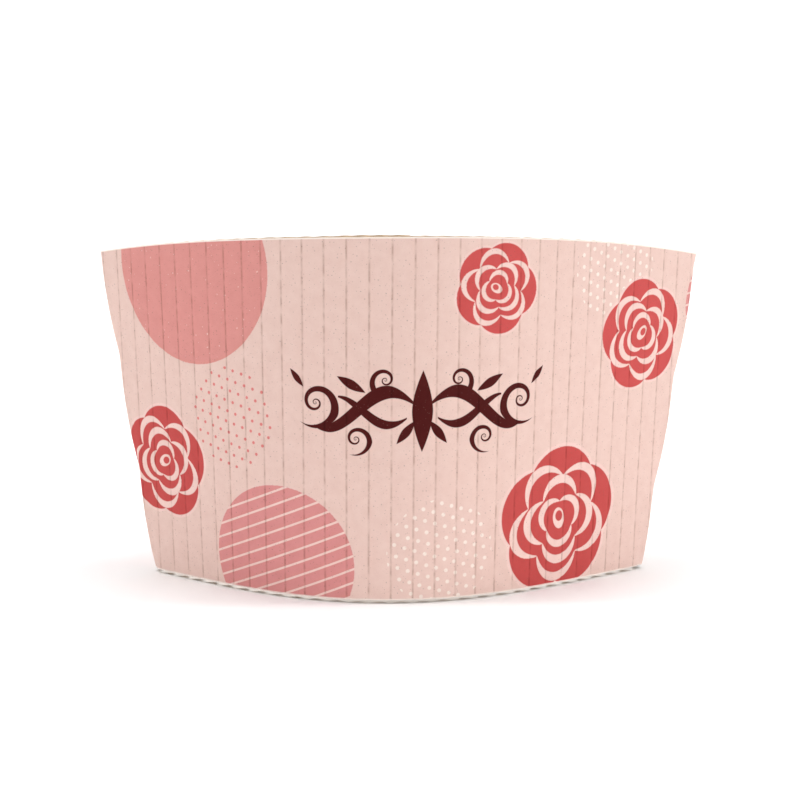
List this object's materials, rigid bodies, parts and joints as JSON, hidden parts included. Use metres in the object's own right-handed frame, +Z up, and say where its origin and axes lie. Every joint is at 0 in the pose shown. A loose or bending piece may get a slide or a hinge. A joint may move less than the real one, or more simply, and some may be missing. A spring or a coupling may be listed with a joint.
{
  "type": "coffee cup sleeve",
  "caption": "Fluted paperboard sleeve for a takeaway cup, creased at both sides and popped open to a lens shape.",
  "frame": {"origin": "in the plane of the flat lower rim, midway between the two side creases", "axes": "+Z up from the narrow lower rim to the wide upper rim, front panel facing -Y, +X from crease to crease"},
  "size_m": [0.1046, 0.0592, 0.0588],
  "materials": {
    "printed_board": "matte, uncoated, printed"
  },
  "bodies": {
    "root": {"cup_sleeve": "printed_board"}
  },
  "joints": []
}
